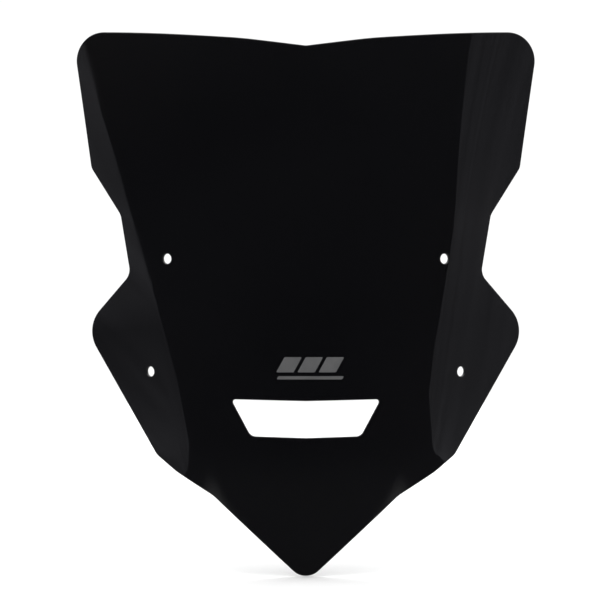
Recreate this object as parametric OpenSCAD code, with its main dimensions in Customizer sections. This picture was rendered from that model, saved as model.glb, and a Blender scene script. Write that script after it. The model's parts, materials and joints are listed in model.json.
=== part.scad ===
// Motorcycle windshield screen: one thermoformed and trimmed acrylic sheet, with a cut-film mark on its face.
//
// Frame: X across the screen, +Z up, the face of the screen towards -Y. The chin tip stands at z = 0.
// The sheet is a middle, two bends and two flat wings, tangent to each other. One upright profile is swept
// round all of them, and the bend axes lean to the front line by cone_angle, so that the bends open upwards.
// Outline, vent, holes and mark are laid out in the front view, as [distance from the middle, height].

/* [Sheet] */
// Thickness of the sheet
sheet_t = 3; // [2:0.5:5]
// Radius of the middle of the sheet, at the chin line
middle_r = 300; // [240:5:400]
// Angle from the front line to either edge of the middle
middle_angle = 15; // [10:1:20]
// Radius of each bend, at the chin line
bend_r = 112; // [90:1:150]
// Angle of each flat wing to the width of the screen
wing_angle = 40; // [32:1:48]
// Lean of the bend axes to the front line
cone_angle = 13; // [8:0.5:16]

/* [Side profile] */
// Height below which the chin curves back
chin_line = 125; // [100:5:160]
// Radius of the chin
chin_r = 520; // [400:10:900]
// Height above which the crown curves forward
crown_line = 360; // [300:5:420]
// Radius of the crown
crown_r = 1100; // [800:50:2000]

/* [Outline] */
// Radius of the chin tip
tip_r = 17; // [10:1:25]
// Corner between chin and jaw
jaw_corner = [86, 74.5]; // [0:0.5:150]
// Middle of the jaw, which bows outwards
jaw_middle = [121, 95.5]; // [0:0.5:200]
// Corner between jaw and cheek
cheek_corner = [140, 110.5]; // [0:0.5:250]
// Corner of the ear before rounding
ear_corner = [211.5, 229.5]; // [150:0.5:300]
// Radius of the ear
ear_r = 30; // [15:1:36]
// Corner of the waist
waist_corner = [165.5, 280]; // [140:0.5:320]
// Corner between waist and shoulder slope
flank_corner = [175, 336]; // [150:0.5:400]
// Corner between shoulder slope and visor side
armpit_corner = [204, 381]; // [170:0.5:420]
// Top corner of the visor before rounding: half of its width, and the height of the screen
top_corner = [221.5, 509]; // [180:0.5:620]
// Radius of the top corners
top_corner_r = 25; // [10:1:28]
// Distance from the middle at which the top edge steepens towards the notch
brow_x = 60; // [30:1:90]
// Drop of the brow below the top corner
brow_drop = 12.5; // [6:0.5:20]
// Drop of the notch below the top corner
notch_drop = 20; // [12:0.5:30]
// Radius of the bowed jaw, between chin and cheek
jaw_r = 42; // [24:1:54]
// Radius at which the top edge steepens towards the notch
brow_r = 280; // [160:10:360]
// Radius that blends the other slight corners of the outline and of the vent
blend_r = 14; // [8:1:18]

/* [Vent] */
// Half of the vent's width along its top edge
vent_top_x = 69.5; // [50:0.5:84]
// Half of the vent's width along its bottom edge
vent_bottom_x = 51; // [35:0.5:64]
// Height of the vent's bottom edge at the middle
vent_z = 128.5; // [105:0.5:140]
// Height of the vent's opening
vent_h = 34; // [20:0.5:42]
// Rise of the vent's edges from the middle to the ends
vent_rise = 1.5; // [0:0.1:4]
// Radius of the vent's top corners
vent_top_r = 2.5; // [1:0.5:6]
// Radius of the vent's bottom corners
vent_bottom_r = 8; // [4:0.5:12]

/* [Mounting holes] */
// Diameter of the holes, for an M5 rubber well nut
hole_d = 9.5; // [6:0.1:12]
// Place of each upper hole
upper_hole = [129.5, 294]; // [80:0.5:340]
// Place of each lower hole
lower_hole = [146, 188.5]; // [80:0.5:240]

/* [Mark] */
// Thickness of the cut film
film_t = 0.2; // [0.1:0.1:0.6]
// Distance of the mark's middle from the middle of the screen
mark_x = 4; // [-10:0.5:10]
// Height of the mark's bottom edge
mark_z = 182.5; // [170:0.5:260]
// Width of each slanted bar
bar_w = 16; // [6:0.5:18]
// Height of the slanted bars
bar_h = 14; // [8:0.5:20]
// Gap between neighbouring bars, and between the bars and the underline
bar_gap = 3.5; // [2:0.5:8]
// Lean of the bars, as run over height
bar_lean = 0.55; // [0:0.05:1]
// Length of the underline
underline_w = 62; // [30:1:66]
// Height of the underline
underline_h = 3; // [2:0.5:5]

/* [Hidden] */

acrylic = [0.04, 0.04, 0.045];
film_grey = [0.36, 0.36, 0.37];

// Angle of one step along a rounded corner of an outline
arc_step = 6;
// Numbers of chords that stand for the curves of the sheet, up it and half-way across it
chin_chords = 10;
crown_chords = 8;
middle_chords = 8;
bend_chords = 12;
// Solutions for a height on the sheet settle to well under a micrometre in this many rounds
solve_rounds = 8;
// Length by which a cutter or the untrimmed sheet runs past what it cuts or fills
margin = 20;

straight_h = (crown_line - chin_line) * cos(cone_angle);
straight_e = (crown_line - chin_line) * sin(cone_angle);
sheet_depth = top_corner.x * tan(wing_angle);
widest_x = max(top_corner.x, ear_corner.x);
wing_length = (widest_x - bend_r * sin(wing_angle)) / cos(wing_angle) + margin;
chin_end = chin_angle(-(chin_line + margin));
crown_end = crown_angle(straight_h + top_corner.y - crown_line + sheet_depth * sin(cone_angle) + margin);

// ---- Side profile, as bulge outwards over height along the bend axes ----

// Slope of the chin or crown at height h on the axis, where the profile's straight part starts at 0
function chin_angle(h) = asin(sin(cone_angle) - h / chin_r);
function crown_angle(h) = asin(sin(cone_angle) + (h - straight_h) / crown_r);
function profile_angle(h) = h < 0 ? chin_angle(h) : h > straight_h ? crown_angle(h) : cone_angle;

// Point of the chin or crown where the slope is a, moved outwards from the face by out
function chin_point(a, out) = [chin_r * (cos(a) - cos(cone_angle)) + out * cos(a),
    chin_r * (sin(cone_angle) - sin(a)) - out * sin(a)];
function crown_point(a, out) = [straight_e + crown_r * (cos(cone_angle) - cos(a)) + out * cos(a),
    straight_h + crown_r * (sin(a) - sin(cone_angle)) - out * sin(a)];
function bulge(h) = h < 0 ? chin_point(chin_angle(h), 0).x
    : h > straight_h ? crown_point(crown_angle(h), 0).x
    : h * tan(cone_angle);

function profile_line(out) = concat(
    [for (i = [chin_chords:-1:0]) chin_point(cone_angle + (chin_end - cone_angle) * i / chin_chords, out)],
    [for (i = [0:crown_chords]) crown_point(cone_angle + (crown_end - cone_angle) * i / crown_chords, out)]);

function reversed(points) = [for (i = [len(points) - 1:-1:0]) points[i]];

// ---- Plan of the sheet, where all radii have grown by g ----

function middle_edge_x(g) = (middle_r + g) * sin(middle_angle);
function middle_edge_y(g) = (middle_r + g) * (1 - cos(middle_angle));
function wing_edge_x(g) = middle_edge_x(g) + (bend_r + g) * (sin(wing_angle) - sin(middle_angle));
function wing_edge_y(g) = middle_edge_y(g) + (bend_r + g) * (cos(middle_angle) - cos(wing_angle));

// Angle to the width of the screen, and distance behind the front line, at distance u from the middle
function plan_angle(u, g) = u < middle_edge_x(g) ? asin(u / (middle_r + g))
    : u < wing_edge_x(g) ? asin((u - middle_edge_x(g)) / (bend_r + g) + sin(middle_angle))
    : wing_angle;
function plan_y(u, g) = let (a = plan_angle(u, g))
    u < middle_edge_x(g) ? (middle_r + g) * (1 - cos(a))
    : u < wing_edge_x(g) ? middle_edge_y(g) + (bend_r + g) * (cos(middle_angle) - cos(a))
    : wing_edge_y(g) + (u - wing_edge_x(g)) * tan(wing_angle);

// Columns of the sheet's grid: [angle, radius at the chin line, bend axis, run along the wing, side]
bend_axis = [0, middle_r] + (middle_r - bend_r) * [sin(middle_angle), -cos(middle_angle)];
right_columns = concat(
    [for (i = [0:middle_chords]) [middle_angle * i / middle_chords, middle_r, [0, middle_r], 0, 1]],
    [for (i = [1:bend_chords])
        [middle_angle + (wing_angle - middle_angle) * i / bend_chords, bend_r, bend_axis, 0, 1]],
    [[wing_angle, bend_r, bend_axis, wing_length, 1]]);
left_columns = [for (c = reversed(right_columns)) if (c[0] > 0) [c[0], c[1], c[2], c[3], -1]];
columns = concat(left_columns, right_columns);

// Point of a column at profile point p, in the frame of the bend axes
function column_point(c, p) =
    let (place = c[2] + (c[1] + p.x) * [sin(c[0]), -cos(c[0])] + c[3] * [cos(c[0]), sin(c[0])])
    [c[4] * place.x, place.y, p.y];

// ---- Front view: points of the face at distance x from the middle and height z ----

function sheet_y(x, h) = plan_y(abs(x), bulge(h)) - bulge(h);
function sheet_h(p, h, rounds) = rounds == 0 ? h
    : sheet_h(p, (p.y - chin_line + sheet_y(p.x, h) * sin(cone_angle)) / cos(cone_angle), rounds - 1);
function axis_h(p) = sheet_h(p, p.y - chin_line, solve_rounds);
function face_y(p) = let (h = axis_h(p)) sheet_y(p.x, h) * cos(cone_angle) + h * sin(cone_angle);
// The y component of the face's normal, which gives the thickness of the sheet along Y
function normal_y(p) = let (h = axis_h(p), a = profile_angle(h))
    cos(plan_angle(abs(p.x), bulge(h))) * cos(a) * cos(cone_angle) + sin(a) * sin(cone_angle);
function back_y(p) = face_y(p) + sheet_t / normal_y(p);

// ---- Outlines with rounded corners: each corner is [place, radius] ----

function unit(v) = v / norm(v);
function heading(v) = atan2(v.y, v.x);
function rounded_corner(before, corner, after, r) =
    let (u = unit(before - corner), v = unit(after - corner), half = acos(u * v) / 2,
        centre = corner + unit(u + v) * r / sin(half), start = corner + u * r / tan(half) - centre,
        side = cross(u, v) > 0 ? -1 : 1, turn = 180 - 2 * half, steps = ceil(turn / arc_step))
    [for (i = [0:steps]) let (a = heading(start) + side * turn * i / steps) centre + r * [cos(a), sin(a)]];
function rounded(corners) = let (n = len(corners))
    [for (i = [0:n - 1]) each rounded_corner(corners[(i + n - 1) % n][0], corners[i][0],
        corners[(i + 1) % n][0], corners[i][1])];

// Corners from the middle bottom up the right side, and the same on the left
function mirrored(corners) = [for (c = reversed(corners)) if (c[0].x > 0) [[-c[0].x, c[0].y], c[1]]];
function both_sides(corners) = rounded(concat(corners, mirrored(corners)));

// Half of the angle at the chin, whose sides touch the tip's arc and pass through the jaw corners
tip_half_angle = let (v = jaw_corner - [0, tip_r]) atan2(v.x, v.y) - asin(tip_r / norm(v));

panel_outline = both_sides([
    [[0, tip_r - tip_r / sin(tip_half_angle)], tip_r],
    [jaw_corner, jaw_r],
    [jaw_middle, jaw_r],
    [cheek_corner, blend_r],
    [ear_corner, ear_r],
    [waist_corner, blend_r],
    [flank_corner, blend_r],
    [armpit_corner, blend_r],
    [top_corner, top_corner_r],
    [[brow_x, top_corner.y - brow_drop], brow_r],
    [[0, top_corner.y - notch_drop], blend_r],
]);
vent_outline = both_sides([
    [[0, vent_z], blend_r],
    [[vent_bottom_x, vent_z + vent_rise], vent_bottom_r],
    [[vent_top_x, vent_z + vent_h + vent_rise], vent_top_r],
    [[0, vent_z + vent_h], blend_r],
]);

// The part's origin is at the middle of its depth
frame_y = (min([for (p = panel_outline) face_y(p)]) + max([for (p = panel_outline) back_y(p)])) / 2;

// ---- Shapes ----

// Places its children in the frame of the bend axes: the front line's straight part starts at the origin
module in_sheet_frame() {
    translate([0, -frame_y, chin_line])
        rotate([-cone_angle, 0, 0])
            children();
}

// The sheet before it is trimmed, between two distances out from its face: a grid of columns up the sheet
module untrimmed_sheet(inner, outer) {
    rows = len(profile_line(0));
    last = len(columns) - 1;
    layer = len(columns) * rows;
    points = [for (out = [outer, inner]) for (c = columns) for (p = profile_line(out)) column_point(c, p)];
    face = [for (j = [0:last - 1]) for (i = [0:rows - 2])
        [j * rows + i, j * rows + i + 1, (j + 1) * rows + i + 1, (j + 1) * rows + i]];
    back = [for (f = face) reversed(f + layer * [1, 1, 1, 1])];
    edge = concat(
        [for (j = [0:last]) j * rows + rows - 1],
        [for (i = [rows - 2:-1:0]) last * rows + i],
        [for (j = [last - 1:-1:0]) j * rows],
        [for (i = [1:rows - 2]) i]);
    rim = [for (k = [0:len(edge) - 1]) let (a = edge[k], b = edge[(k + 1) % len(edge)])
        [b, a, a + layer, b + layer]];
    in_sheet_frame()
        polyhedron(points, concat(face, back, rim));
}

// An outline of the front view, cut right through the depth of the screen
module through(points) {
    translate([0, sheet_depth + margin, 0])
        rotate([90, 0, 0])
            linear_extrude(2 * (sheet_depth + margin))
                polygon(points);
}

// Puts its children on the face at place p of the front view, with their Z along the outward normal
module on_face(p) {
    h = axis_h(p);
    in_sheet_frame()
        translate([p.x, sheet_y(p.x, h), h])
            rotate([90 + profile_angle(h), 0, sign(p.x) * plan_angle(abs(p.x), bulge(h))])
                children();
}

module mounting_hole(p) {
    on_face(p)
        translate([0, 0, -2 * sheet_t])
            cylinder(d = hole_d, h = 4 * sheet_t, $fn = 64);
}

module screen_panel() {
    color(acrylic)
        difference() {
            intersection() {
                untrimmed_sheet(-sheet_t, 0);
                through(panel_outline);
            }
            through(vent_outline);
            for (side = [-1, 1])
                for (p = [upper_hole, lower_hole])
                    mounting_hole([side * p.x, p.y]);
        }
}

// A piece of film that lies on the face, cut to an outline of the front view
module film(points) {
    color(film_grey)
        intersection() {
            untrimmed_sheet(0, film_t);
            through(points);
        }
}

// Slanted bar number i, counted from the middle one
module mark_bar(i) {
    x = mark_x + i * (bar_w + bar_gap) - bar_w / 2;
    z = mark_z + underline_h + bar_gap;
    lean = bar_h * bar_lean / 2;
    film([[x - lean, z], [x + bar_w - lean, z], [x + bar_w + lean, z + bar_h], [x + lean, z + bar_h]]);
}

module mark_bar_left() {
    mark_bar(-1);
}

module mark_bar_middle() {
    mark_bar(0);
}

module mark_bar_right() {
    mark_bar(1);
}

module mark_underline() {
    x = mark_x - underline_w / 2;
    lean = underline_h * bar_lean;
    film([[x, mark_z], [x + underline_w - lean, mark_z], [x + underline_w, mark_z + underline_h],
        [x + lean, mark_z + underline_h]]);
}

screen_panel();
mark_bar_left();
mark_bar_middle();
mark_bar_right();
mark_underline();
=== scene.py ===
"""Motorcycle windshield screen: the finished sheet and its mark, with their materials, studio and camera.

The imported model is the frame: metres, X across the screen, +Z up, the face towards -Y, the chin tip at z = 0.
Each piece is cut as a flat blank, laid out in the front view, and Geometry Nodes then form it to the sheet's
middle, two bends and two flat wings. In a blank, Y is the depth below the face of the sheet.
"""

from __future__ import annotations

import json
import logging
import math
from dataclasses import dataclass, field, fields
from enum import Enum
from typing import Any, ClassVar, Iterator, Sequence, Union

import bpy
import numpy as np
from mathutils import Matrix, Vector
from mathutils.geometry import delaunay_2d_cdt

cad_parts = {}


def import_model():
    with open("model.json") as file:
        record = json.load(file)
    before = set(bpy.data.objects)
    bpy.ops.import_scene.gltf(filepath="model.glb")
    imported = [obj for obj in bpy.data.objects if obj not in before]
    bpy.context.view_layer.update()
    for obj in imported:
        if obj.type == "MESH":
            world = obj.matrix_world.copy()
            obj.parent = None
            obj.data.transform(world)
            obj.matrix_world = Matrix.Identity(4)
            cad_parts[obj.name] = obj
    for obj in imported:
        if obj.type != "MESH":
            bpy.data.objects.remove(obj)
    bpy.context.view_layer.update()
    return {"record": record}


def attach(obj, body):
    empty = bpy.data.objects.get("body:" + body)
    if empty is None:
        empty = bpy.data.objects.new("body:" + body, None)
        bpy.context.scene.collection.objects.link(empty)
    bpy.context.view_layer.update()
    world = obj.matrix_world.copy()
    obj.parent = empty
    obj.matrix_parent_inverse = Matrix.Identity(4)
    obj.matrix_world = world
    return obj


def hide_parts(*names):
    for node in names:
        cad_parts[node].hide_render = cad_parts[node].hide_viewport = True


LOG = logging.getLogger("windshield_screen")
BODY = "root"
MM_IN_METRE = 1000
WHITE = (1.0, 1.0, 1.0, 1.0)
TRIANGLES_INSIDE = 1

Colour = tuple[float, float, float, float]
Point = tuple[float, float]
Triple = tuple[float, float, float]
Socket = bpy.types.NodeSocket


def around(items: Sequence[Any]) -> Iterator[tuple[Any, Any]]:
    """Each item with the one after it, and the last with the first."""
    return zip(items, [*items[1:], items[0]])


def placed(name: str, data: bpy.types.ID) -> bpy.types.Object:
    """Puts a mesh or a camera into the scene.

    Args:
        name: The object's name.
        data: The mesh or the camera.

    Returns:
        The object, at the origin.
    """
    item = bpy.data.objects.new(name, data)
    bpy.context.scene.collection.objects.link(item)
    return item


# ---- Node trees ----


class Fade(Enum):
    """How a value goes from one end of a range to the other."""

    EVEN = "LINEAR"
    SOFT = "SMOOTHSTEP"


class Detail(Enum):
    """How much fine structure is in a noise."""

    SMOOTH = 1.0
    CLOUDY = 2.0
    FINE = 3.0


@dataclass(frozen=True)
class Value:
    """A number that a socket gives. Arithmetic on it adds Math nodes to its tree."""

    tree: Tree
    socket: Socket

    def __add__(self, other: Number) -> Value:
        """Sum with another value."""
        return self.tree.maths("ADD", self, other)

    def __radd__(self, other: Number) -> Value:
        """Sum with a plain number on the left."""
        return self.tree.maths("ADD", other, self)

    def __sub__(self, other: Number) -> Value:
        """Difference from another value."""
        return self.tree.maths("SUBTRACT", self, other)

    def __rsub__(self, other: Number) -> Value:
        """Difference of a plain number and this value."""
        return self.tree.maths("SUBTRACT", other, self)

    def __mul__(self, other: Number) -> Value:
        """Product with another value."""
        return self.tree.maths("MULTIPLY", self, other)

    def __rmul__(self, other: Number) -> Value:
        """Product with a plain number on the left."""
        return self.tree.maths("MULTIPLY", other, self)

    def __truediv__(self, other: Number) -> Value:
        """Ratio to another value."""
        return self.tree.maths("DIVIDE", self, other)

    def __neg__(self) -> Value:
        """This value with its sign turned."""
        return self.tree.maths("MULTIPLY", self, -1.0)

    def least(self, other: Number) -> Value:
        """The smaller of this and another value."""
        return self.tree.maths("MINIMUM", self, other)

    def most(self, other: Number) -> Value:
        """The larger of this and another value."""
        return self.tree.maths("MAXIMUM", self, other)

    def size(self) -> Value:
        """The value without its sign."""
        return self.tree.maths("ABSOLUTE", self)

    def sign(self) -> Value:
        """Minus one, nought or one."""
        return self.tree.maths("SIGN", self)

    def root(self) -> Value:
        """Square root."""
        return self.tree.maths("SQRT", self)

    def sine(self) -> Value:
        """Sine of an angle in radians."""
        return self.tree.maths("SINE", self)

    def cosine(self) -> Value:
        """Cosine of an angle in radians."""
        return self.tree.maths("COSINE", self)

    def over_leg(self) -> Value:
        """The other leg of a right triangle whose longest side is 1 and one leg this value."""
        return (1.0 - self * self).most(0.0).root()


Number = Union[Value, float]


class Tree:
    """A node tree as it is built."""

    def __init__(self, nodes: bpy.types.NodeTree) -> None:
        """Takes an empty node tree."""
        self.nodes = nodes

    @classmethod
    def cleared(cls, owner: bpy.types.Material | bpy.types.World) -> Tree:
        """Turns on and empties the tree of a material or a world.

        Args:
            owner: The material or the world.

        Returns:
            Its tree.
        """
        owner.use_nodes = True
        owner.node_tree.nodes.clear()
        return cls(owner.node_tree)

    def add(
        self,
        kind: str,
        settings: dict[str, Any] | None = None,
        inputs: dict[str | int, Any] | None = None,
    ) -> bpy.types.Node:
        """Adds a node.

        Args:
            kind: The node's type.
            settings: The node's own properties, set first. "stops" fills a colour ramp.
            inputs: Values or links of its sockets, by identifier or by number.

        Returns:
            The new node.
        """
        node = self.nodes.nodes.new(kind)
        for name, setting in (settings or {}).items():
            if name == "stops":
                self._fill_ramp(node.color_ramp, setting)
            else:
                setattr(node, name, setting)
        for key, value in (inputs or {}).items():
            self.feed(self._socket(node.inputs, key), value)
        return node

    def feed(self, socket: Socket, value: Any) -> None:
        """Links a value or an output to a socket, or sets what the socket itself holds.

        Args:
            socket: The socket.
            value: The value, the output, or what the socket is to hold.
        """
        if isinstance(value, Value):
            value = value.socket
        if isinstance(value, Socket):
            self.nodes.links.new(value, socket)
        else:
            socket.default_value = value

    def maths(self, operation: str, *values: Number) -> Value:
        """Adds a Math node and returns its result."""
        node = self.add("ShaderNodeMath", {"operation": operation}, dict(enumerate(values)))
        return Value(self, node.outputs[0])

    def vector(self, operation: str, *vectors: Any, scale: Number | None = None) -> Socket:
        """Adds a Vector Math node.

        Args:
            operation: The node's operation.
            vectors: Its vectors, as links or plain triples.
            scale: The factor of a SCALE.

        Returns:
            The socket of the resulting vector.
        """
        inputs: dict[str | int, Any] = dict(enumerate(vectors))
        if scale is not None:
            inputs["Scale"] = scale
        return self.add("ShaderNodeVectorMath", {"operation": operation}, inputs).outputs["Vector"]

    def dot(self, first: Any, second: Any) -> Value:
        """Dot product of two vectors."""
        node = self.add("ShaderNodeVectorMath", {"operation": "DOT_PRODUCT"}, {0: first, 1: second})
        return Value(self, node.outputs["Value"])

    def compose(self, x: Number, y: Number, z: Number) -> Socket:
        """Vector of three numbers."""
        return self.add("ShaderNodeCombineXYZ", inputs={0: x, 1: y, 2: z}).outputs[0]

    def parts(self, vector: Socket) -> tuple[Value, Value, Value]:
        """The three numbers of a vector."""
        node = self.add("ShaderNodeSeparateXYZ", inputs={0: vector})
        return Value(self, node.outputs[0]), Value(self, node.outputs[1]), Value(self, node.outputs[2])

    def range(
        self,
        value: Number,
        low: float,
        high: float,
        to_low: float = 0.0,
        to_high: float = 1.0,
        fade: Fade = Fade.EVEN,
    ) -> Value:
        """Carries a value over from one range to another, and keeps it inside.

        Args:
            value: The value.
            low: Lower end of the first range.
            high: Upper end of the first range.
            to_low: What the lower end becomes.
            to_high: What the upper end becomes.
            fade: How it goes from one end to the other.

        Returns:
            The value in the second range.
        """
        inputs = {"Value": value, "From Min": low, "From Max": high, "To Min": to_low, "To Max": to_high}
        settings = {"clamp": True, "interpolation_type": fade.value}
        return Value(self, self.add("ShaderNodeMapRange", settings, inputs).outputs["Result"])

    def blend(self, factor: Number, first: Any, second: Any) -> Socket:
        """Mixes two colours."""
        inputs = {"Factor_Float": factor, "A_Color": first, "B_Color": second}
        return self.add("ShaderNodeMix", {"data_type": "RGBA"}, inputs).outputs[2]

    def noise(self, place: Socket, size: float, detail: Detail = Detail.CLOUDY) -> Value:
        """Clouds of a size in the units of the place, from nought to one."""
        inputs = {"Vector": place, "Scale": 1.0 / size, "Detail": detail.value}
        return Value(self, self.add("ShaderNodeTexNoise", inputs=inputs).outputs["Fac"])

    def stretched(self, place: Socket, turn: Triple, squeeze: Triple) -> Socket:
        """Turns a place round the origin, then squeezes it by a factor each way."""
        turned = self.add("ShaderNodeMapping", inputs={"Vector": place, "Rotation": turn}).outputs[0]
        return self.add("ShaderNodeMapping", inputs={"Vector": turned, "Scale": squeeze}).outputs[0]

    def relief(self, height: Number, depth: float, under: Socket | None = None) -> Socket:
        """Adds a Bump node.

        Args:
            height: The relief's height, from nought to one.
            depth: How much one is, in metres.
            under: The normal of another relief that it lies on.

        Returns:
            The normal of the relief.
        """
        bump = self.add("ShaderNodeBump", inputs={"Distance": depth, "Height": height})
        if under is not None:
            self.feed(bump.inputs["Normal"], under)
        return bump.outputs[0]

    def carried(self, name: str) -> Value:
        """Reads a number that the vertices of a piece carry.

        Args:
            name: The attribute's name.

        Returns:
            Its value.
        """
        if isinstance(self.nodes, bpy.types.GeometryNodeTree):
            node = self.add("GeometryNodeInputNamedAttribute", {"data_type": "FLOAT"}, {"Name": name})
            return Value(self, node.outputs["Attribute"])
        return Value(self, self.add("ShaderNodeAttribute", {"attribute_name": name}).outputs["Fac"])

    @staticmethod
    def _socket(sockets: Any, key: str | int) -> Socket:
        """The socket with a number or an identifier."""
        return sockets[key] if isinstance(key, int) else next(s for s in sockets if s.identifier == key)

    @staticmethod
    def _fill_ramp(ramp: bpy.types.ColorRamp, stops: Sequence[tuple[float, Colour]]) -> None:
        """Gives a colour ramp its stops.

        Args:
            ramp: The ramp.
            stops: Its stops, each a place from nought to one and a colour.
        """
        while len(ramp.elements) < len(stops):
            ramp.elements.new(1.0)
        for element, (place, colour) in zip(ramp.elements, stops):
            element.position = place
            element.color = colour


# ---- Outlines and blanks ----


@dataclass(frozen=True)
class Corner:
    """A corner of an outline in the front view, with the radius that rounds it."""

    x: float
    z: float
    radius: float

    def mirrored(self) -> Corner:
        """The same corner on the left side."""
        return Corner(-self.x, self.z, self.radius)


@dataclass(frozen=True)
class Station:
    """A point of an outline and the unit vector along the outline there."""

    place: Vector
    along: Vector


@dataclass(frozen=True)
class Outline:
    """A closed line in the front view, with the material on the left of its way."""

    stations: list[Station]

    @classmethod
    def rounded(cls, corners: Sequence[Corner], spacing: float, arc_step: float) -> Outline:
        """Rounds the corners of a polygon.

        Args:
            corners: The polygon's corners, anticlockwise.
            spacing: Longest step along a straight stretch.
            arc_step: Largest turn of one step along a corner, in radians.

        Returns:
            The outline, anticlockwise.
        """
        arcs = []
        for number, corner in enumerate(corners):
            before = corners[number - 1]
            after = corners[(number + 1) % len(corners)]
            arcs.append(cls._arc(before, corner, after, arc_step))
        stations: list[Station] = []
        for arc, following in around(arcs):
            stations += arc
            stations += cls._straight(arc[-1].place, following[0].place, spacing)
        return cls(stations)

    @staticmethod
    def _arc(before: Corner, corner: Corner, after: Corner, arc_step: float) -> list[Station]:
        """Rounds one corner.

        Args:
            before: The corner before it.
            corner: The corner.
            after: The corner after it.
            arc_step: Largest turn of one step, in radians.

        Returns:
            The stations of its arc.
        """
        here = Vector((corner.x, corner.z))
        back = (Vector((before.x, before.z)) - here).normalized()
        ahead = (Vector((after.x, after.z)) - here).normalized()
        half = back.angle(ahead) / 2
        centre = here + (back + ahead).normalized() * corner.radius / math.sin(half)
        start = here + back * corner.radius / math.tan(half) - centre
        side = -math.copysign(1.0, back.x * ahead.y - back.y * ahead.x)
        turn = math.pi - 2 * half
        steps = max(1, math.ceil(turn / arc_step))
        stations = []
        for step in range(steps + 1):
            spoke = Matrix.Rotation(side * turn * step / steps, 2) @ start
            along = Vector((-spoke.y, spoke.x)).normalized() * side
            stations.append(Station(centre + spoke, along))
        return stations

    @staticmethod
    def _straight(start: Vector, end: Vector, spacing: float) -> list[Station]:
        """Divides the straight stretch between two corners.

        Args:
            start: Its first end.
            end: Its other end.
            spacing: Longest step along it.

        Returns:
            The stations between its ends.
        """
        steps = max(1, math.ceil((end - start).length / spacing))
        along = (end - start).normalized()
        return [Station(start.lerp(end, step / steps), along) for step in range(1, steps)]

    @classmethod
    def bore(cls, centre: Vector, axis: Vector, radius: float, steps: int) -> Outline:
        """The front view of a bore's mouth, clockwise as its edge bounds the material round it.

        Args:
            centre: Middle of the mouth.
            axis: The bore's direction.
            radius: The bore's radius.
            steps: Number of stations.

        Returns:
            The outline.
        """
        across = axis.cross(Vector((0.0, 0.0, 1.0))).normalized()
        up = across.cross(axis).normalized()
        stations = []
        for step in range(steps):
            turn = -math.tau * step / steps
            spoke = across * math.cos(turn) + up * math.sin(turn)
            along = across * math.sin(turn) - up * math.cos(turn)
            place = centre + spoke * radius
            stations.append(Station(Vector((place.x, place.z)), Vector((along.x, along.z)).normalized()))
        outline = cls(stations)
        return outline if outline.area() < 0 else outline.reversed()

    def reversed(self) -> Outline:
        """The same line the other way, which bounds an opening in the material."""
        return Outline([Station(station.place, -station.along) for station in self.stations[::-1]])

    def runs(self) -> list[Triple]:
        """The way of the line at each station, as vectors of the frame."""
        return [(station.along.x, 0.0, station.along.y) for station in self.stations]

    def travels(self) -> list[float]:
        """Measures along the line.

        Returns:
            The shorter way from the first station to each station.
        """
        gone = [0.0]
        for station, following in around(self.stations):
            gone.append(gone[-1] + (following.place - station.place).length)
        whole = gone.pop()
        return [min(way, whole - way) for way in gone]

    def area(self) -> float:
        """The enclosed area, above nought where the line goes anticlockwise."""
        pairs = around([station.place for station in self.stations])
        return sum(a.x * b.y - a.y * b.x for a, b in pairs) / 2

    def holds(self, points: np.ndarray) -> np.ndarray:
        """Tells which points are inside the line.

        Args:
            points: The points, one to a row.

        Returns:
            Whether each point is inside.
        """
        line = np.array([station.place for station in self.stations])
        ends = np.roll(line, -1, axis=0)
        x, z = points[:, :1], points[:, 1:]
        between = (line[:, 1] > z) != (ends[:, 1] > z)
        rise = np.where(ends[:, 1] == line[:, 1], 1.0, ends[:, 1] - line[:, 1])
        crossing = line[:, 0] + (z - line[:, 1]) * (ends[:, 0] - line[:, 0]) / rise
        return (np.logical_and(between, x < crossing).sum(axis=1) % 2).astype(bool)


@dataclass(frozen=True)
class Ring:
    """A line round the edges of a blank: how far its normal has turned from the face's, and its depth."""

    turn: float
    depth: float


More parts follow.
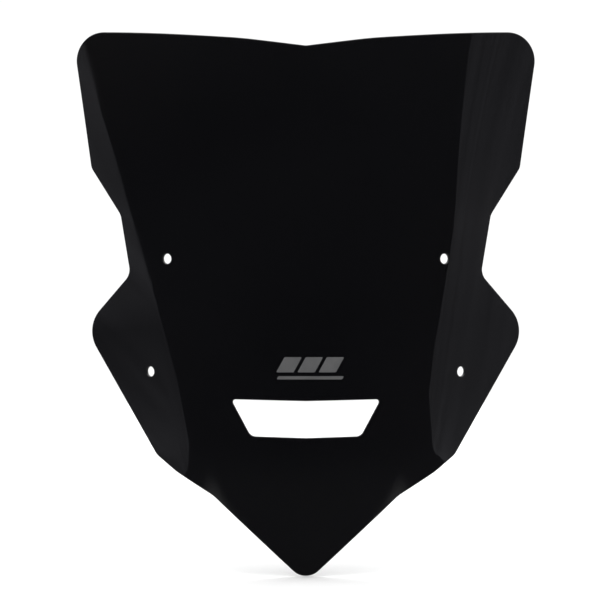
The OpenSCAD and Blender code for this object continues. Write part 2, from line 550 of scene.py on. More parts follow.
@dataclass(frozen=True)
class Blank:
    """A flat piece in the front view, not yet formed: its face and back filled with a grid, its edges round.

    Each vertex carries what the forming needs: run (the way of the edge), inset (how far in from the edge),
    turn (from the face's normal over the edge to the back's) and travel (the way gone along the edge). The
    face stands out of the sheet's by proud. Grid points keep clearance from an outline, and points nearer
    than merging become one, both as shares of a cell. Sharpest is the sine of the sharpest corner that a
    face of two triangles may have, and lot the number of stations that the grid is measured from at a time.
    """

    outlines: list[Outline]
    thickness: float
    edge_radius: float
    edge_steps: int
    cell: float
    proud: float = 0.0
    clearance: float = 0.6
    merging: float = 0.0001
    sharpest: float = 0.5
    lot: int = 64

    def mesh(self, name: str) -> bpy.types.Mesh:
        """Builds the blank's mesh.

        Args:
            name: Name of the mesh.

        Returns:
            The mesh, with its attributes.
        """
        points, loops, faces = self._filled()
        edge_runs = [run for outline in self.outlines for run in outline.runs()]
        edge_travels = [travel for outline in self.outlines for travel in outline.travels()]
        on_edge, whole = len(edge_runs), len(points)
        rings = self._rings()
        places, runs, insets, turns, travels, starts = [], [], [], [], [], []
        for ring in rings:
            count = whole if ring in (rings[0], rings[-1]) else on_edge
            starts.append(len(places))
            places += [(point.x, ring.depth - self.proud, point.y) for point in points[:count]]
            turns += [ring.turn] * count
            spare = count - on_edge
            inset = self.edge_radius * (1.0 - math.sin(ring.turn))
            insets += [inset] * on_edge + [0.0] * spare
            runs += edge_runs + [(0.0, 0.0, 0.0)] * spare
            travels += edge_travels + [0.0] * spare
        polygons = [*faces, *(tuple(vertex + starts[-1] for vertex in face[::-1]) for face in faces)]
        for upper, lower in zip(starts, starts[1:]):
            for loop in loops:
                polygons += self._band(loop, upper, lower)
        mesh = bpy.data.meshes.new(name)
        mesh.from_pydata(places, [], polygons)
        self._store(mesh, "run", "FLOAT_VECTOR", "vector", [part for run in runs for part in run])
        for carried, values in {"inset": insets, "turn": turns, "travel": travels}.items():
            self._store(mesh, carried, "FLOAT", "value", values)
        return mesh

    def _rings(self) -> list[Ring]:
        """Rounds the edge.

        Returns:
            The rings over it, from the face's rim to the back's.
        """
        turns = [math.pi * step / (2 * self.edge_steps) for step in range(self.edge_steps + 1)]
        front = [Ring(turn, self.edge_radius * (1.0 - math.cos(turn))) for turn in turns]
        return front + [Ring(math.pi - ring.turn, self.thickness - ring.depth) for ring in front[::-1]]

    def _filled(self) -> tuple[list[Vector], list[list[int]], list[tuple[int, ...]]]:
        """Fills the outlines with a grid of cells.

        Returns:
            The points in the front view, the points of each outline, and the faces.
        """
        line = [station.place for outline in self.outlines for station in outline.stations]
        loops: list[list[int]] = []
        for outline in self.outlines:
            start = sum(len(loop) for loop in loops)
            loops.append(list(range(start, start + len(outline.stations))))
        edges = [pair for loop in loops for pair in around(loop)]
        grid = self._grid(np.array(line))
        result = delaunay_2d_cdt(line + grid, edges, [], TRIANGLES_INSIDE, self.cell * self.merging)
        points, triangles = result[0], result[2]
        centres = np.array([sum((points[v] for v in t), Vector((0.0, 0.0))) / 3 for t in triangles])
        kept = self._inside(centres)
        faces = [tuple(t) for t, keep in zip(triangles, kept) if keep]
        return list(points), loops, self._paired(points, faces)

    def _inside(self, points: np.ndarray) -> np.ndarray:
        """Tells which points are in the material.

        Args:
            points: The points in the front view, one to a row.

        Returns:
            Whether each point is in it.
        """
        inside = self.outlines[0].holds(points)
        for opening in self.outlines[1:]:
            inside &= ~opening.holds(points)
        return inside

    def _grid(self, line: np.ndarray) -> list[Vector]:
        """Lays grid points in the material.

        Args:
            line: The points of all outlines, one to a row.

        Returns:
            The grid points that are clear of the outlines.
        """
        low, high = line.min(axis=0), line.max(axis=0)
        columns = math.ceil(high[0] / self.cell)
        across = np.arange(math.floor(low[0] / self.cell), columns + 1) * self.cell
        up = np.arange(math.floor(low[1] / self.cell), math.ceil(high[1] / self.cell) + 1) * self.cell
        points = np.array([(x, z) for x in across for z in up])
        points = points[self._inside(points)]
        gaps = np.full(len(points), np.inf)
        for start in range(0, len(line), self.lot):
            part = line[start : start + self.lot]
            gap = np.linalg.norm(points[:, None, :] - part[None, :, :], axis=2).min(axis=1)
            gaps = np.minimum(gaps, gap)
        return [Vector(point) for point in points[gaps > self.cell * self.clearance]]

    def _paired(self, points: Sequence[Vector], triangles: list[tuple[int, ...]]) -> list[tuple[int, ...]]:
        """Joins the two triangles of each grid cell to one face.

        Args:
            points: The points in the front view.
            triangles: The triangles, as numbers of their points.

        Returns:
            The faces, with the triangles that have no partner.
        """
        partners: dict[tuple[int, int], list[int]] = {}
        for number, corners in enumerate(triangles):
            for start, end in around(corners):
                partners.setdefault((min(start, end), max(start, end)), []).append(number)
        joined: set[int] = set()
        faces: list[tuple[int, ...]] = []
        by_length = sorted(partners, key=lambda edge: -(points[edge[0]] - points[edge[1]]).length)
        for edge in by_length:
            pair = partners[edge]
            if len(pair) < 2 or joined.intersection(pair):
                continue
            first, second = (triangles[number] for number in pair)
            apex = next(vertex for vertex in second if vertex not in edge)
            turned = next(k for k in range(3) if first[k] in edge and first[(k + 1) % 3] in edge)
            quad = (first[turned], apex, first[(turned + 1) % 3], first[(turned + 2) % 3])
            if self._squareness(points, quad) < self.sharpest:
                continue
            joined.update(pair)
            faces.append(quad)
        faces += [corners for number, corners in enumerate(triangles) if number not in joined]
        return faces

    @staticmethod
    def _squareness(points: Sequence[Vector], quad: tuple[int, ...]) -> float:
        """Measures how near to a square a face is.

        Args:
            points: The points in the front view.
            quad: The face, as numbers of its points.

        Returns:
            The sine of its sharpest corner, which is less than nought if it isn't convex.
        """
        sines = []
        for k in range(4):
            back = (points[quad[k - 1]] - points[quad[k]]).normalized()
            ahead = (points[quad[(k + 1) % 4]] - points[quad[k]]).normalized()
            sines.append(ahead.x * back.y - ahead.y * back.x)
        return min(sines)

    @staticmethod
    def _band(loop: list[int], upper: int, lower: int) -> list[tuple[int, ...]]:
        """Faces between two rings of an edge, from where their vertices start."""
        return [(b + upper, a + upper, a + lower, b + lower) for a, b in around(loop)]

    @staticmethod
    def _store(mesh: bpy.types.Mesh, name: str, kind: str, part: str, values: list[float]) -> None:
        """Stores an attribute of the vertices."""
        mesh.attributes.new(name, kind, "POINT").data.foreach_set(part, values)


# ---- The formed sheet ----


@dataclass(frozen=True)
class SheetForm:
    """The shape that the heated sheet takes: a middle, two bends and two flat wings, tangent to each other.

    One upright profile is swept round all of them: a chin that curves back, a straight stretch, and a crown
    that curves forward. The bend axes lean to the front line by lean, so that the bends open upwards.
    """

    middle_radius: float = 0.300
    middle_angle: float = math.radians(15)
    bend_radius: float = 0.112
    wing_angle: float = math.radians(40)
    lean: float = math.radians(13)
    chin_line: float = 0.125
    chin_radius: float = 0.520
    crown_line: float = 0.360
    crown_radius: float = 1.100
    front_line: float = 0.0
    rounds: int = 6

    def sizes(self) -> dict[str, float | int]:
        """The sizes by the names of the tree's inputs."""
        return {f.name.replace("_", " ").capitalize(): getattr(self, f.name) for f in fields(self)}

    def tree(self) -> bpy.types.GeometryNodeTree:
        """Builds the Geometry Nodes tree that forms a blank.

        Returns:
            The tree, with a named input for each size and one for the material.
        """
        nodes = bpy.data.node_groups.new("form_sheet", "GeometryNodeTree")
        interface = nodes.interface
        interface.new_socket("Blank", in_out="INPUT", socket_type="NodeSocketGeometry")
        for name, size in self.sizes().items():
            kind = "NodeSocketInt" if isinstance(size, int) else "NodeSocketFloat"
            interface.new_socket(name, in_out="INPUT", socket_type=kind).default_value = size
        interface.new_socket("Material", in_out="INPUT", socket_type="NodeSocketMaterial")
        interface.new_socket("Piece", in_out="OUTPUT", socket_type="NodeSocketGeometry")
        tree = Tree(nodes)
        given = tree.add("NodeGroupInput").outputs
        size = {name: Value(tree, given[name]) for name in self.sizes()}
        x, depth, z = tree.parts(tree.add("GeometryNodeInputPosition").outputs[0])
        height = self._axis_height(tree, size, x, z)
        back, normal = self._face(tree, size, x, height)
        lean = size["Lean"]
        face_y = back * lean.cosine() + height * lean.sine() - size["Front line"]
        outward = self._outward(tree, normal)
        turn = tree.carried("turn")
        place = tree.vector("ADD", tree.compose(x, face_y, z), tree.vector("SCALE", normal, scale=-depth))
        inset = tree.vector("SCALE", outward, scale=-tree.carried("inset"))
        place = tree.vector("ADD", place, inset)
        shading = tree.vector(
            "ADD",
            tree.vector("SCALE", normal, scale=turn.cosine()),
            tree.vector("SCALE", outward, scale=turn.sine()),
        )
        kept = tree.add("GeometryNodeCaptureAttribute", {"domain": "POINT"})
        kept.capture_items.new("VECTOR", "Normal")
        tree.feed(kept.inputs["Geometry"], given["Blank"])
        tree.feed(kept.inputs["Normal"], shading)
        moved = tree.add(
            "GeometryNodeSetPosition", inputs={"Geometry": kept.outputs["Geometry"], "Position": place}
        )
        smooth = tree.add("GeometryNodeSetShadeSmooth", inputs={"Geometry": moved.outputs[0]})
        shaded = tree.add(
            "GeometryNodeSetMeshNormal",
            {"mode": "FREE", "domain": "POINT"},
            {"Mesh": smooth.outputs[0], "Custom Normal": kept.outputs["Normal"]},
        )
        real = tree.add("GeometryNodeRealizeInstances", inputs={"Geometry": shaded.outputs[0]})
        dressed = tree.add(
            "GeometryNodeSetMaterial", inputs={"Geometry": real.outputs[0], "Material": given["Material"]}
        )
        tree.add("NodeGroupOutput", inputs={0: dressed.outputs[0]})
        return nodes

    def _axis_height(self, tree: Tree, size: dict[str, Value], x: Value, z: Value) -> Value:
        """Solves for the height along the bend axes of the face at a place of the front view.

        Args:
            tree: The tree.
            size: The tree's sizes.
            x: Distance across.
            z: Height.

        Returns:
            The height along the bend axes.
        """
        rise = z - size["Chin line"]
        start = tree.add("GeometryNodeRepeatInput", inputs={"Iterations": size["Rounds"]})
        end = tree.add("GeometryNodeRepeatOutput")
        start.pair_with_output(end)
        end.repeat_items.clear()
        end.repeat_items.new("FLOAT", "Height")
        tree.feed(start.inputs["Height"], rise)
        back, _ = self._face(tree, size, x, Value(tree, start.outputs["Height"]))
        lean = size["Lean"]
        tree.feed(end.inputs["Height"], (rise + back * lean.sine()) / lean.cosine())
        return Value(tree, end.outputs["Height"])

    def _face(self, tree: Tree, size: dict[str, Value], x: Value, height: Value) -> tuple[Value, Socket]:
        """The face at a distance across and a height along the bend axes.

        Args:
            tree: The tree.
            size: The tree's sizes.
            x: Distance across.
            height: Height along the bend axes, from the chin line.

        Returns:
            The distance behind the front line across the bend axes, and the outward normal in the frame.
        """
        lean, middle, wing = size["Lean"], size["Middle angle"], size["Wing angle"]
        sin_lean, cos_lean = lean.sine(), lean.cosine()
        straight = (size["Crown line"] - size["Chin line"]) * cos_lean
        below, above = height.least(0.0), (height - straight).most(0.0)
        sin_chin = sin_lean - below / size["Chin radius"]
        sin_crown = sin_lean + above / size["Crown radius"]
        bulge = (
            height.most(0.0).least(straight) * sin_lean / cos_lean
            + size["Chin radius"] * (sin_chin.over_leg() - cos_lean)
            + size["Crown radius"] * (cos_lean - sin_crown.over_leg())
        )
        middle_r, bend_r = size["Middle radius"] + bulge, size["Bend radius"] + bulge
        middle_edge = middle_r * middle.sine()
        bend_width = bend_r * (wing.sine() - middle.sine())
        across = x.size()
        over_middle = across.least(middle_edge)
        over_bend = (across - middle_edge).most(0.0).least(bend_width)
        over_wing = (across - middle_edge - bend_width).most(0.0)
        sin_middle = over_middle / middle_r
        sin_bend = middle.sine() + over_bend / bend_r
        back = (
            middle_r * (1.0 - sin_middle.over_leg())
            + bend_r * (middle.cosine() - sin_bend.over_leg())
            + over_wing * wing.sine() / wing.cosine()
            - bulge
        )
        sin_plan = sin_middle + over_bend / bend_r
        cos_plan = sin_plan.over_leg()
        sin_slope = sin_chin + sin_crown - sin_lean
        cos_slope = sin_slope.over_leg()
        normal = tree.compose(
            x.sign() * sin_plan * cos_slope,
            -(cos_plan * cos_slope * cos_lean) - sin_slope * sin_lean,
            cos_plan * cos_slope * sin_lean - sin_slope * cos_lean,
        )
        return back, normal

    @staticmethod
    def _outward(tree: Tree, normal: Socket) -> Socket:
        """Finds the way out of the material across an edge.

        Args:
            tree: The tree.
            normal: The face's outward normal.

        Returns:
            The unit vector across the edge and along the face.
        """
        settings = {"data_type": "FLOAT_VECTOR"}
        carried = tree.add("GeometryNodeInputNamedAttribute", settings, {"Name": "run"})
        run = carried.outputs["Attribute"]
        _, normal_y, _ = tree.parts(normal)
        fall = -(tree.dot(normal, run) / normal_y)
        way = tree.vector("ADD", run, tree.compose(0.0, fall, 0.0))
        return tree.vector("NORMALIZE", tree.vector("CROSS_PRODUCT", way, normal))


@dataclass
class Former:
    """Forms blanks to the sheet's shape."""

    form: SheetForm = field(default_factory=SheetForm)
    front_line: float = 0.0
    nodes: bpy.types.GeometryNodeTree = field(init=False)

    def __post_init__(self) -> None:
        """Builds the forming tree."""
        self.nodes = self.form.tree()

    def seat(self, mouth: Vector) -> None:
        """Moves the front line so that the formed face passes through a point of the frame.

        Args:
            mouth: The point, such as the mouth of a mounting hole.
        """
        probe = bpy.data.meshes.new("probe")
        probe.from_pydata([(mouth.x, 0.0, mouth.z)], [], [])
        formed = self.shape("probe", probe, None)
        self.front_line = formed.data.vertices[0].co.y - mouth.y
        bpy.data.objects.remove(formed)

    def shape(
        self, name: str, blank: bpy.types.Mesh, material: bpy.types.Material | None
    ) -> bpy.types.Object:
        """Forms one blank.

        Args:
            name: Name of the finished piece.
            blank: The blank's mesh.
            material: The piece's material.

        Returns:
            The formed piece, a plain mesh at the origin.
        """
        carrier = placed(name + "_blank", blank)
        modifier = carrier.modifiers.new("form", "NODES")
        modifier.node_group = self.nodes
        given = {**self.form.sizes(), "Front line": self.front_line, "Material": material}
        for item in self.nodes.interface.items_tree:
            if item.in_out == "INPUT" and item.name in given:
                modifier[item.identifier] = given[item.name]
        evaluated = carrier.evaluated_get(bpy.context.evaluated_depsgraph_get())
        mesh = bpy.data.meshes.new_from_object(evaluated)
        mesh.name = name
        for passing in ("run", "inset"):
            if passing in mesh.attributes:
                mesh.attributes.remove(mesh.attributes[passing])
        bpy.data.objects.remove(carrier)
        bpy.data.meshes.remove(blank)
        return placed(name, mesh)


# ---- Finishes ----


class Slot(Enum):
    """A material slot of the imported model's record."""

    ACRYLIC = "acrylic"
    MARK_FILM = "mark_film"


class Finish:
    """A finish that dresses a surface, read on Object coordinates in metres."""

    name: ClassVar[str]

    def material(self) -> bpy.types.Material:
        """Builds the material.

        Returns:
            The material.
        """
        material = bpy.data.materials.new(self.name)
        tree = Tree.cleared(material)
        place = tree.add("ShaderNodeTexCoord").outputs["Object"]
        shader = tree.add("ShaderNodeBsdfPrincipled", inputs=self.dress(tree, place))
        tree.add("ShaderNodeOutputMaterial", inputs={"Surface": shader.outputs[0]})
        return material

    def dress(self, tree: Tree, place: Socket) -> dict[str, Any]:
        """Works out what the Principled shader is given.

        Args:
            tree: The material's tree.
            place: Place on the object.

        Returns:
            Numbers and links, by the shader's sockets.
        """
        raise NotImplementedError


@dataclass(frozen=True)
class PolishedAcrylic(Finish):
    """Cast acrylic, smoked so dark that it looks black: a deep gloss, and satin edges where it was routed.

    Each span is the part of a noise that counts, between nothing and the whole of its effect.
    """

    name: ClassVar[str] = "polished_acrylic"
    slot: ClassVar[Slot] = Slot.ACRYLIC
    deep: Colour = (0.0038, 0.0038, 0.0045, 1.0)
    light: Colour = (0.0046, 0.0046, 0.0054, 1.0)
    warm: Colour = (0.0051, 0.0047, 0.0051, 1.0)
    edge: Colour = (0.0110, 0.0110, 0.0125, 1.0)
    index: float = 1.49
    gloss: float = 0.020
    tint_size: float = 0.16
    tint_span: Point = (0.35, 0.65)
    blush_size: float = 0.27
    blush_span: Point = (0.52, 0.72)
    blush_share: float = 0.8
    wipe_size: float = 0.012
    wipe_turn: Triple = (0.0, 0.35, 0.0)
    wipe_squeeze: Triple = (1.0, 1.0, 0.10)
    wipe_span: Point = (0.45, 0.75)
    wipe_haze: float = 0.025
    hair_size: float = 0.0011
    hair_turn: Triple = (0.0, -0.50, 0.0)
    hair_squeeze: Triple = (1.0, 1.0, 0.03)
    hair_span: Point = (0.70, 0.80)
    hair_haze: float = 0.07
    draw_size: float = 0.075
    draw_depth: float = 0.000006
    edge_span: Point = (0.55, 0.95)
    edge_haze: float = 0.32
    cutter_haze: float = 0.10
    cutter_pitch: float = 0.00045
    cutter_depth: float = 0.000012

    def dress(self, tree: Tree, place: Socket) -> dict[str, Any]:
        """Works out tint, gloss and relief.

        Args:
            tree: The material's tree.
            place: Place on the object.

        Returns:
            Numbers and links, by the shader's sockets.
        """
        over_edge = tree.range(tree.carried("turn").sine(), *self.edge_span)
        cutter = self._cutter_marks(tree)
        routed = over_edge * (self.edge_haze + self.cutter_haze * cutter)
        drawn = tree.relief(tree.noise(place, self.draw_size, Detail.SMOOTH), self.draw_depth)
        edge_colour = tree.blend(cutter, self.light, self.edge)
        return {
            "Base Color": tree.blend(over_edge, self._body(tree, place), edge_colour),
            "Roughness": self.gloss + self._haze(tree, place) + routed,
            "IOR": self.index,
            "Normal": tree.relief(over_edge * cutter, self.cutter_depth, drawn),
        }

    def _body(self, tree: Tree, place: Socket) -> Socket:
        """Mixes the smoke tint, in wide soft clouds.

        Args:
            tree: The material's tree.
            place: Place on the object.

        Returns:
            The colour.
        """
        tint = tree.range(tree.noise(place, self.tint_size), *self.tint_span)
        clouds = tree.noise(place, self.blush_size, Detail.SMOOTH)
        blush = tree.range(clouds, *self.blush_span, to_high=self.blush_share)
        return tree.blend(blush, tree.blend(tint, self.deep, self.light), self.warm)

    def _haze(self, tree: Tree, place: Socket) -> Value:
        """Works out the gloss lost to wiping and to hair scratches.

        Args:
            tree: The material's tree.
            place: Place on the object.

        Returns:
            What they add to the roughness.
        """
        across_wipes = tree.stretched(place, self.wipe_turn, self.wipe_squeeze)
        across_hairs = tree.stretched(place, self.hair_turn, self.hair_squeeze)
        wipe = tree.noise(across_wipes, self.wipe_size, Detail.FINE)
        hair = tree.noise(across_hairs, self.hair_size, Detail.SMOOTH)
        wiped = tree.range(wipe, *self.wipe_span, to_high=self.wipe_haze)
        return wiped + tree.range(hair, *self.hair_span, to_high=self.hair_haze)

    def _cutter_marks(self, tree: Tree) -> Value:
        """The fine ribs that the router leaves across the wall, from nought to one."""
        ribs = (tree.carried("travel") * (math.tau / self.cutter_pitch)).sine()
        return tree.range(ribs, -1.0, 1.0)


@dataclass(frozen=True)
class SatinFilm(Finish):
    """Cut vinyl film in a mid grey: satin, with a fine grain."""

    name: ClassVar[str] = "satin_film"
    slot: ClassVar[Slot] = Slot.MARK_FILM
    dark: Colour = (0.094, 0.094, 0.096, 1.0)
    pale: Colour = (0.118, 0.118, 0.120, 1.0)
    index: float = 1.45
    gloss: float = 0.46
    dull: float = 0.56
    grain_size: float = 0.00045
    grain_share: float = 0.6
    grain_depth: float = 0.000006
    cloud_size: float = 0.010
    tone_span: Point = (0.35, 0.65)

    def dress(self, tree: Tree, place: Socket) -> dict[str, Any]:
        """Works out colour, gloss and grain.

        Args:
            tree: The material's tree.
            place: Place on the object.

        Returns:
            Numbers and links, by the shader's sockets.
        """
        grain = tree.noise(place, self.grain_size, Detail.FINE)
        cloud = tree.noise(place, self.cloud_size)
        mixed = grain * self.grain_share + cloud * (1.0 - self.grain_share)
        return {
            "Base Color": tree.blend(tree.range(mixed, *self.tone_span), self.dark, self.pale),
            "Roughness": tree.range(cloud, *self.tone_span, self.gloss, self.dull),
            "IOR": self.index,
            "Normal": tree.relief(grain, self.grain_depth),
        }


@dataclass(frozen=True)
class PaleFloor(Finish):
    """A floor of matt white paint, with a faint roller stipple."""

    name: ClassVar[str] = "pale_floor"
    low: Colour = (0.93, 0.93, 0.93, 1.0)
    high: Colour = (0.96, 0.96, 0.96, 1.0)
    dullness: float = 0.9
    sheen: float = 0.1
    stipple_size: float = 0.004
    stipple_depth: float = 0.00005

    def dress(self, tree: Tree, place: Socket) -> dict[str, Any]:
        """Works out colour and stipple.

        Args:
            tree: The material's tree.
            place: Place on the object.

        Returns:
            Numbers and links, by the shader's sockets.
        """
        stipple = tree.noise(place, self.stipple_size)
        return {
            "Base Color": tree.blend(stipple, self.low, self.high),
            "Roughness": self.dullness,
            "Specular IOR Level": self.sheen,
            "Normal": tree.relief(stipple, self.stipple_depth),
        }


def stand_for(piece: bpy.types.Object, node: str) -> None:
    """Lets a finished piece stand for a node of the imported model.

    Args:
        piece: The finished piece.
        node: The node that it replaces.
    """
    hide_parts(node)
    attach(piece, BODY)


# ---- The object ----


@dataclass
class ScreenPanel:
    """The sheet itself, with its vent and its four mounting holes."""

    former: Former
    mounts: dict[str, dict[str, Any]]
    thickness: float = 0.003
    edge_radius: float = 0.0008
    edge_steps: int = 4
    cell: float = 0.0045
    spacing: float = 0.003
    arc_step: float = math.radians(4)
    bore_steps: int = 48
    tip_radius: float = 0.017
    body: tuple[Corner, ...] = (
        Corner(0.0860, 0.0745, 0.042),
        Corner(0.1210, 0.0955, 0.042),
        Corner(0.1400, 0.1105, 0.014),
        Corner(0.2115, 0.2295, 0.030),
        Corner(0.1655, 0.2800, 0.014),
        Corner(0.1750, 0.3360, 0.014),
        Corner(0.2040, 0.3810, 0.014),
        Corner(0.2215, 0.5090, 0.025),
        Corner(0.0600, 0.4965, 0.280),
        Corner(0.0000, 0.4890, 0.014),
    )
    vent: tuple[Corner, ...] = (
        Corner(0.0000, 0.1285, 0.014),
        Corner(0.0510, 0.1300, 0.008),
        Corner(0.0695, 0.1640, 0.0025),
        Corner(0.0000, 0.1625, 0.014),
    )

    def build(self, finish: PolishedAcrylic) -> bpy.types.Object:
        """Cuts, forms and dresses the sheet.

        Args:
            finish: The sheet's finish.

        Returns:
            The finished piece.
        """
        outlines = [self._rounded((self._tip(), *self.body)), self._rounded(self.vent).reversed()]
        outlines += [self._bore(mount) for mount in self.mounts.values()]
        blank = Blank(outlines, self.thickness, self.edge_radius, self.edge_steps, self.cell)
        piece = self.former.shape("sheet", blank.mesh("sheet_blank"), finish.material())
        stand_for(piece, "screen_panel")
        return piece

    def mouth(self, mount: dict[str, Any]) -> Vector:
        """The middle of a mounting hole's mouth in the face."""
        return Vector(mount["pos_m"]) + Vector(mount["axis"]) * self.thickness / 2

    def _rounded(self, corners: Sequence[Corner]) -> Outline:
        """The outline of corners up the right side and their mirror images down the left."""
        left = [corner.mirrored() for corner in corners[::-1] if corner.x > 0]
        return Outline.rounded([*corners, *left], self.spacing, self.arc_step)

    def _tip(self) -> Corner:
        """Places the chin's corner.

        Returns:
            The corner whose arc touches z = 0 and whose sides pass through the jaw corners.
        """
        jaw = self.body[0]
        reach = math.hypot(jaw.x, jaw.z - self.tip_radius)
        half_angle = math.atan2(jaw.x, jaw.z - self.tip_radius) - math.asin(self.tip_radius / reach)
        return Corner(0.0, self.tip_radius - self.tip_radius / math.sin(half_angle), self.tip_radius)

    def _bore(self, mount: dict[str, Any]) -> Outline:
        """The outline of a mounting hole."""
        radius = mount["dims"]["r_mm"] / MM_IN_METRE
        return Outline.bore(self.mouth(mount), Vector(mount["axis"]), radius, self.bore_steps)


@dataclass
class CutMark:
    """The generic mark on the face: three slanted bars over an underline, each a piece of film."""

    former: Former
    film: float = 0.0002
    edge_radius: float = 0.00007
    edge_steps: int = 2
    cell: float = 0.0025
    spacing: float = 0.0015
    arc_step: float = math.radians(15)
    corner_radius: float = 0.0006
    middle_x: float = 0.004
    bottom_z: float = 0.1825
    bar_width: float = 0.016
    bar_height: float = 0.014
    gap: float = 0.0035
    lean: float = 0.55
    underline_width: float = 0.062
    underline_height: float = 0.003

    def build(self, finish: SatinFilm) -> list[bpy.types.Object]:
        """Cuts, forms and dresses the pieces of film.

        Args:
            finish: The film's finish.

        Returns:
            The finished pieces.
        """
        material = finish.material()
        pieces = []
        for name, corners in self._cuts():
            outline = Outline.rounded(corners, self.spacing, self.arc_step)
            sizes = (self.film, self.edge_radius, self.edge_steps, self.cell)
            blank = Blank([outline], *sizes, proud=self.film)
            piece = self.former.shape("film_" + name, blank.mesh(name + "_blank"), material)
            stand_for(piece, "mark_" + name)
            pieces.append(piece)
        return pieces

    def _cuts(self) -> Iterator[tuple[str, list[Corner]]]:
        """Lays out the mark.

        Yields:
            The name and the corners of each piece.
        """
        bottom = self.bottom_z + self.underline_height + self.gap
        first = self.middle_x - (self.bar_width + self.bar_height * self.lean) / 2
        for number, name in enumerate(("bar_left", "bar_middle", "bar_right"), -1):
            left = first + number * (self.bar_width + self.gap)
            yield name, self._corners(left, bottom, self.bar_width, self.bar_height)
        left = self.middle_x - self.underline_width / 2
        width = self.underline_width - self.underline_height * self.lean
        yield "underline", self._corners(left, self.bottom_z, width, self.underline_height)

    def _corners(self, left: float, bottom: float, width: float, height: float) -> list[Corner]:
        """Lays out one slanted bar.

        Args:
            left: Left end of its bottom edge.
            bottom: Height of its bottom edge.
            width: Length of its bottom and top edges.
            height: Height from one to the other.

        Returns:
            Its corners, anticlockwise.
        """
        right, top, run = left + width, bottom + height, height * self.lean
        places = [(left, bottom), (right, bottom), (right + run, top), (left + run, top)]
        return [Corner(x, z, self.corner_radius) for x, z in places]


# ---- Studio ----


@dataclass(frozen=True)
class SideLight:
    """A large light panel beside the screen, which shows only as the soft sheen in a wing.

    Its corners are places in Y and Z, and its glow is a strength for each of some heights. The cloth over it
    hangs in soft folds that lean by fold_lean, and they draw faint streaks in the sheen.
    """

    name: str
    x: float
    corners: tuple[Point, ...]
    glow: tuple[Point, ...]
    fold_lean: float
    tint: Triple = (1.0, 1.0, 1.08)
    fold_width: float = 0.016
    fold_height: float = 0.240
    fold_depth: float = 1.1

    def build(self) -> None:
        """Makes the panel, which the camera doesn't see."""
        mesh = bpy.data.meshes.new(self.name)
        mesh.from_pydata([(self.x, y, z) for y, z in self.corners], [], [tuple(range(len(self.corners)))])
        mesh.materials.append(self._cloth())
        panel = placed(self.name, mesh)
        panel.visible_camera = False
        panel.visible_diffuse = False
        panel.visible_shadow = False

    def _cloth(self) -> bpy.types.Material:
        """Builds the panel's lit cloth.

        Returns:
            The cloth's material.
        """
        material = bpy.data.materials.new(self.name)
        tree = Tree.cleared(material)
        place = tree.add("ShaderNodeTexCoord").outputs["Object"]
        _, _, z = tree.parts(place)
        low, high = self.glow[0][0], self.glow[-1][0]
        stops = []
        for height, glow in self.glow:
            stops.append(((height - low) / (high - low), (*(glow * part for part in self.tint), 1.0)))
        ramp = tree.add("ShaderNodeValToRGB", {"stops": stops}, {0: tree.range(z, low, high)})
        squeeze = (1.0, 1.0 / self.fold_width, 1.0 / self.fold_height)
        fold = tree.noise(tree.stretched(place, (self.fold_lean, 0.0, 0.0), squeeze), 1.0)
        strength = 1.0 + (fold - 0.5) * self.fold_depth
        light = tree.add("ShaderNodeEmission", inputs={"Color": ramp.outputs["Color"], "Strength": strength})
        tree.add("ShaderNodeOutputMaterial", inputs={"Surface": light.outputs[0]})
        return material


@dataclass(frozen=True)
class SoftPatch:
    """A part of the room that glows round a direction: full inside core, gone outside reach, in degrees."""

    towards: Triple
    core: float
    reach: float
    glow: float

    def light(self, tree: Tree, direction: Socket) -> Value:
        """Adds the nodes of the patch.

        Args:
            tree: The world's tree.
            direction: The direction looked in.

        Returns:
            The patch's glow in it.
        """
        facing = tree.dot(direction, Vector(self.towards).normalized()[:])
        start, full = (math.cos(math.radians(angle)) for angle in (self.reach, self.core))
        return tree.range(facing, start, full, to_high=self.glow, fade=Fade.SOFT)


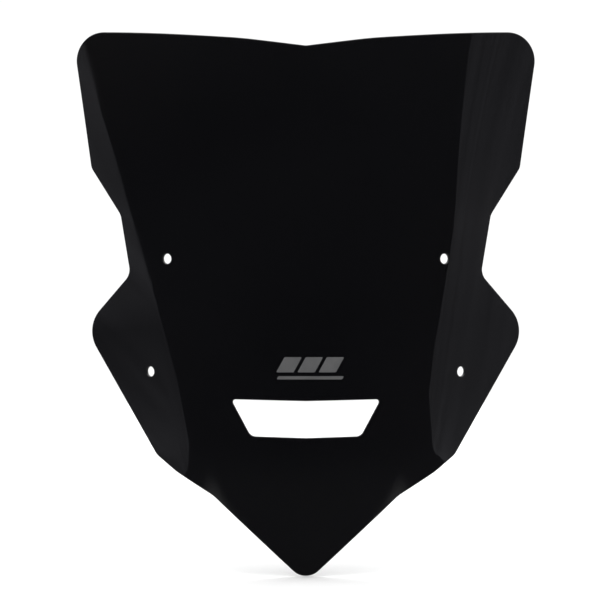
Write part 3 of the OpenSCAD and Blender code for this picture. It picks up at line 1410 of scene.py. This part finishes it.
@dataclass
class Studio:
    """A pale floor, soft light from above and a level camera in front of the face."""

    camera_distance: float = 2.4
    view_width: float = 0.552
    sensor_width: float = 0.036
    camera_x: float = -0.0054
    camera_z: float = 0.2556
    clip: Point = (0.1, 50.0)
    floor_size: float = 8.0
    floor_drop: float = 0.0004
    backdrop: float = 1.05
    room: tuple[SoftPatch, ...] = (
        SoftPatch(towards=(0.0, 0.0, 1.0), core=41.0, reach=70.0, glow=2.0),
        SoftPatch(towards=(0.0, 0.0, -1.0), core=74.0, reach=88.0, glow=0.040),
        SoftPatch(towards=(0.0, 0.0, -1.0), core=15.0, reach=58.0, glow=0.50),
        SoftPatch(towards=(0.60, -0.60, -0.53), core=4.0, reach=22.0, glow=0.80),
        SoftPatch(towards=(-0.60, -0.60, -0.53), core=4.0, reach=22.0, glow=0.80),
        SoftPatch(towards=(0.0, 1.0, 0.0), core=40.0, reach=95.0, glow=0.16),
        SoftPatch(towards=(-0.80, 0.60, 0.10), core=8.0, reach=34.0, glow=0.85),
        SoftPatch(towards=(0.55, 0.80, 0.25), core=5.0, reach=30.0, glow=0.60),
    )
    side_lights: tuple[SideLight, ...] = (
        SideLight(
            name="left_light",
            x=-0.7,
            corners=(
                (0.45, -0.20), (-0.24, -0.02), (-0.30, 0.05), (-0.235, 0.12), (-0.115, 0.20),
                (-0.09, 0.235), (-0.06, 0.37), (-0.065, 0.60), (0.45, 0.60),
            ),
            glow=(
                (-0.02, 0.19), (0.05, 0.22), (0.09, 0.16), (0.14, 0.115), (0.18, 0.090), (0.215, 0.215),
                (0.30, 0.27), (0.335, 0.21), (0.375, 0.28),
            ),
            fold_lean=math.radians(40),
        ),
        SideLight(
            name="right_light",
            x=0.7,
            corners=(
                (0.45, -0.20), (-0.085, -0.01), (-0.10, 0.02), (-0.285, 0.11), (-0.28, 0.165),
                (-0.235, 0.235), (-0.215, 0.30), (-0.225, 0.34), (-0.315, 0.385), (-0.33, 0.60), (0.45, 0.60),
            ),
            glow=(
                (0.00, 0.40), (0.05, 0.26), (0.08, 0.21), (0.12, 0.175), (0.19, 0.165), (0.24, 0.20),
                (0.31, 0.24), (0.35, 0.185), (0.38, 0.17),
            ),
            fold_lean=math.radians(5),
        ),
    )

    def build(self, front_line_y: float) -> None:
        """Builds floor, world, lights and camera.

        Args:
            front_line_y: Where the middle's front line is in the frame.
        """
        scene = bpy.context.scene
        scene.view_settings.view_transform = "Standard"
        self._floor()
        self._world()
        for light in self.side_lights:
            light.build()
        self._camera(front_line_y)

    def _floor(self) -> None:
        """Lays the floor just below the chin tip."""
        half = self.floor_size / 2
        mesh = bpy.data.meshes.new("floor")
        corners = [(-half, -half), (half, -half), (half, half), (-half, half)]
        mesh.from_pydata([(x, y, -self.floor_drop) for x, y in corners], [], [(0, 1, 2, 3)])
        mesh.materials.append(PaleFloor().material())
        floor = placed("floor", mesh)
        floor.visible_glossy = False

    def _world(self) -> None:
        """A white backdrop for the camera, and for all else a dark room with a wide bright ceiling."""
        world = bpy.data.worlds.new("studio")
        tree = Tree.cleared(world)
        direction = tree.add("ShaderNodeTexCoord").outputs["Generated"]
        glow = sum(patch.light(tree, direction) for patch in self.room)
        seen = Value(tree, tree.add("ShaderNodeLightPath").outputs["Is Camera Ray"])
        strength = glow + seen * (self.backdrop - glow)
        light = tree.add("ShaderNodeBackground", inputs={"Color": WHITE, "Strength": strength})
        tree.add("ShaderNodeOutputWorld", inputs={"Surface": light.outputs[0]})
        bpy.context.scene.world = world

    def _camera(self, front_line_y: float) -> None:
        """Sets the camera level, square to the screen.

        Args:
            front_line_y: Where the middle's front line is in the frame.
        """
        data = bpy.data.cameras.new("camera")
        data.sensor_width = self.sensor_width * MM_IN_METRE
        data.lens = data.sensor_width * self.camera_distance / self.view_width
        data.clip_start, data.clip_end = self.clip
        camera = placed("camera", data)
        camera.location = (self.camera_x, front_line_y - self.camera_distance, self.camera_z)
        camera.rotation_euler = (math.pi / 2, 0.0, 0.0)
        bpy.context.scene.camera = camera


def report(piece: bpy.types.Object) -> None:
    """Logs one finished piece."""
    LOG.info("%s: %d faces", piece.name, len(piece.data.polygons))


def main() -> None:
    """Builds the screen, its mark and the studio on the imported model."""
    logging.basicConfig(level=logging.INFO, format="%(name)s: %(message)s")
    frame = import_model()
    mounts = {mount["name"]: mount for mount in frame["record"]["mounts"] if mount["kind"] == "bore"}
    former = Former()
    panel = ScreenPanel(former, mounts)
    former.seat(panel.mouth(mounts["upper_right_hole"]))
    report(panel.build(PolishedAcrylic()))
    for piece in CutMark(former).build(SatinFilm()):
        report(piece)
    Studio().build(-former.front_line)


if __name__ == "__main__":
    main()
